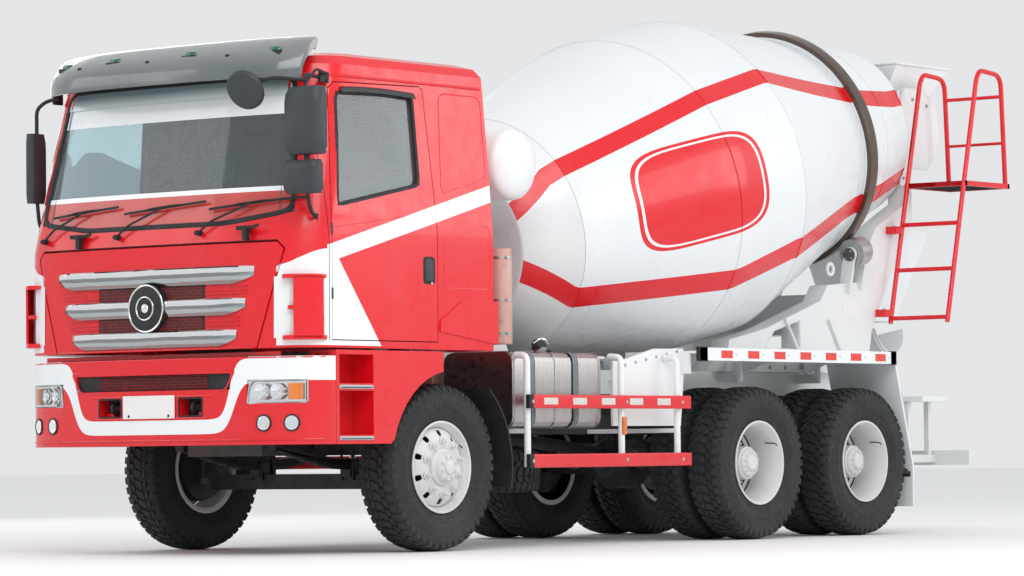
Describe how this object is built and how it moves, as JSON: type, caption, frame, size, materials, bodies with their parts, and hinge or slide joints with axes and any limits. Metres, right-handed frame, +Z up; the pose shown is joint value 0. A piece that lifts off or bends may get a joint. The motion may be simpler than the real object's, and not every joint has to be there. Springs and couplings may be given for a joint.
{
  "type": "concrete mixer truck",
  "caption": "Three-axle concrete mixer truck with tilting cab, opening doors, steered front wheels, rotating drum on rollers and a swinging discharge chute.",
  "frame": {"origin": "centre of the overall bounding box, on the ground; the truck's centreline is at x -0.0775 m because the left mirror reaches further out than the folded right one", "axes": "the truck faces -Y, +X is its left side, +Z is up"},
  "size_m": [2.685, 8.8399, 3.8098],
  "materials": {
    "cab_red": "gloss paint",
    "body_white": "gloss paint",
    "frame_black": "satin chassis paint",
    "tyre_rubber": "matte",
    "bare_steel": "machined",
    "tank_aluminium": "brushed sheet",
    "cast_grey": "rough casting",
    "trim_plastic": "textured",
    "window_glass": "clear tinted",
    "visor_smoke": "smoked",
    "seat_cloth": "woven",
    "stack_primer": "weathered primer"
  },
  "bodies": {
    "chassis": {"chassis_frame": "frame_black", "mixer_subframe": "body_white", "front_axle": "frame_black", "rear_axle_front": "frame_black", "rear_axle_rear": "frame_black", "rear_suspension": "frame_black", "engine": "cast_grey", "front_bumper": "cab_red", "step_left": "cab_red", "step_right": "cab_red", "fuel_tank": "tank_aluminium", "battery_box": "trim_plastic", "side_guard_left": "body_white", "side_guard_right": "body_white", "spare_wheel": "tyre_rubber", "rear_fender_left": "body_white", "rear_fender_right": "body_white", "rear_bumper": "body_white", "water_tank": "body_white", "exhaust_stack": "stack_primer", "front_pedestal": "body_white", "drum_gearbox": "cast_grey", "rear_pedestal": "body_white", "charge_hopper": "body_white", "discharge_hopper": "body_white", "access_ladder": "cab_red"},
    "cab": {"cab_shell": "cab_red", "windshield": "window_glass", "sun_visor": "visor_smoke", "mirror_left": "trim_plastic", "mirror_right": "trim_plastic", "dashboard": "trim_plastic", "driver_seat": "seat_cloth", "passenger_seat": "seat_cloth"},
    "hood": {"front_panel": "cab_red"},
    "steering_wheel": {"steering_wheel": "trim_plastic"},
    "drum": {"mixing_drum": "body_white"},
    "chute_post": {"chute_post": "frame_black"},
    "chute": {"main_chute": "body_white"},
    "door_left": {"door_left": "cab_red", "door_glass_left": "window_glass"},
    "knuckle_left": {"knuckle_left": "cast_grey"},
    "wheel_front_left": {"tyre_front_left": "tyre_rubber", "rim_front_left": "body_white"},
    "wheel_mid_left": {"tyre_mid_left": "tyre_rubber", "rim_mid_left": "body_white"},
    "wheel_rear_left": {"tyre_rear_left": "tyre_rubber", "rim_rear_left": "body_white"},
    "roller_left": {"roller_left": "bare_steel"},
    "door_right": {"door_right": "cab_red", "door_glass_right": "window_glass"},
    "knuckle_right": {"knuckle_right": "cast_grey"},
    "wheel_front_right": {"tyre_front_right": "tyre_rubber", "rim_front_right": "body_white"},
    "wheel_mid_right": {"tyre_mid_right": "tyre_rubber", "rim_mid_right": "body_white"},
    "wheel_rear_right": {"tyre_rear_right": "tyre_rubber", "rim_rear_right": "body_white"},
    "roller_right": {"roller_right": "bare_steel"}
  },
  "joints": [
    {"name": "cab_tilt", "type": "hinge", "parent": "chassis", "child": "cab", "pos_m": [-0.0775, -4.04, 0.95], "axis": [1, 0, 0], "range_deg": [0, 50]},
    {"name": "hood_lift", "type": "hinge", "parent": "cab", "child": "hood", "pos_m": [-0.0775, -4.216, 1.94], "axis": [-1, 0, 0], "range_deg": [0, 60]},
    {"name": "drum_spin", "type": "hinge", "parent": "chassis", "child": "drum", "pos_m": [-0.0775, -1.125, 2.06], "axis": [0, 0.9763, 0.2164], "continuous": true},
    {"name": "chute_swing", "type": "hinge", "parent": "chassis", "child": "chute_post", "pos_m": [-0.0775, 3.88, 1.06], "axis": [0, 0, -1], "range_deg": [0, 180]},
    {"name": "chute_tilt", "type": "hinge", "parent": "chute_post", "child": "chute", "pos_m": [-0.0775, 3.88, 1.25], "axis": [0, 1, 0], "range_deg": [-8, 22]},
    {"name": "steering_turn", "type": "hinge", "parent": "cab", "child": "steering_wheel", "pos_m": [-0.6775, -3.6, 2.01], "axis": [0, 0.4903, 0.8716], "range_deg": [-700, 700]},
    {"name": "door_left_swing", "type": "hinge", "parent": "cab", "child": "door_left", "pos_m": [1.1585, -3.89, 2], "axis": [0, 0, -1], "range_deg": [0, 70]},
    {"name": "steer_left", "type": "hinge", "parent": "chassis", "child": "knuckle_left", "pos_m": [0.8225, -2.74, 0.53786], "axis": [0, 0, 1], "range_deg": [-38, 38]},
    {"name": "spin_front_left", "type": "hinge", "parent": "knuckle_left", "child": "wheel_front_left", "pos_m": [0.9425, -2.74, 0.53786], "axis": [1, 0, 0], "continuous": true},
    {"name": "spin_mid_left", "type": "hinge", "parent": "chassis", "child": "wheel_mid_left", "pos_m": [0.8525, 0.71, 0.53786], "axis": [1, 0, 0], "continuous": true},
    {"name": "spin_rear_left", "type": "hinge", "parent": "chassis", "child": "wheel_rear_left", "pos_m": [0.8525, 2.06, 0.53786], "axis": [1, 0, 0], "continuous": true},
    {"name": "roller_left_spin", "type": "hinge", "parent": "chassis", "child": "roller_left", "pos_m": [0.55497, 2.8646, 2.1153], "axis": [0, 0.9763, 0.2164], "continuous": true},
    {"name": "door_right_swing", "type": "hinge", "parent": "cab", "child": "door_right", "pos_m": [-1.3135, -3.89, 2], "axis": [0, 0, 1], "range_deg": [0, 70]},
    {"name": "steer_right", "type": "hinge", "parent": "chassis", "child": "knuckle_right", "pos_m": [-0.9775, -2.74, 0.53786], "axis": [0, 0, 1], "range_deg": [-38, 38]},
    {"name": "spin_front_right", "type": "hinge", "parent": "knuckle_right", "child": "wheel_front_right", "pos_m": [-1.0975, -2.74, 0.53786], "axis": [1, 0, 0], "continuous": true},
    {"name": "spin_mid_right", "type": "hinge", "parent": "chassis", "child": "wheel_mid_right", "pos_m": [-1.0075, 0.71, 0.53786], "axis": [1, 0, 0], "continuous": true},
    {"name": "spin_rear_right", "type": "hinge", "parent": "chassis", "child": "wheel_rear_right", "pos_m": [-1.0075, 2.06, 0.53786], "axis": [1, 0, 0], "continuous": true},
    {"name": "roller_right_spin", "type": "hinge", "parent": "chassis", "child": "roller_right", "pos_m": [-0.70997, 2.8646, 2.1153], "axis": [0, 0.9763, 0.2164], "continuous": true}
  ],
  "couplings": [
    {"joint": "roller_left_spin", "follows": "drum_spin", "ratio": -8.3364},
    {"joint": "roller_right_spin", "follows": "drum_spin", "ratio": -8.3364},
    {"joint": "steer_right", "follows": "steer_left", "ratio": 1},
    {"joint": "steering_turn", "follows": "steer_left", "ratio": 18}
  ]
}
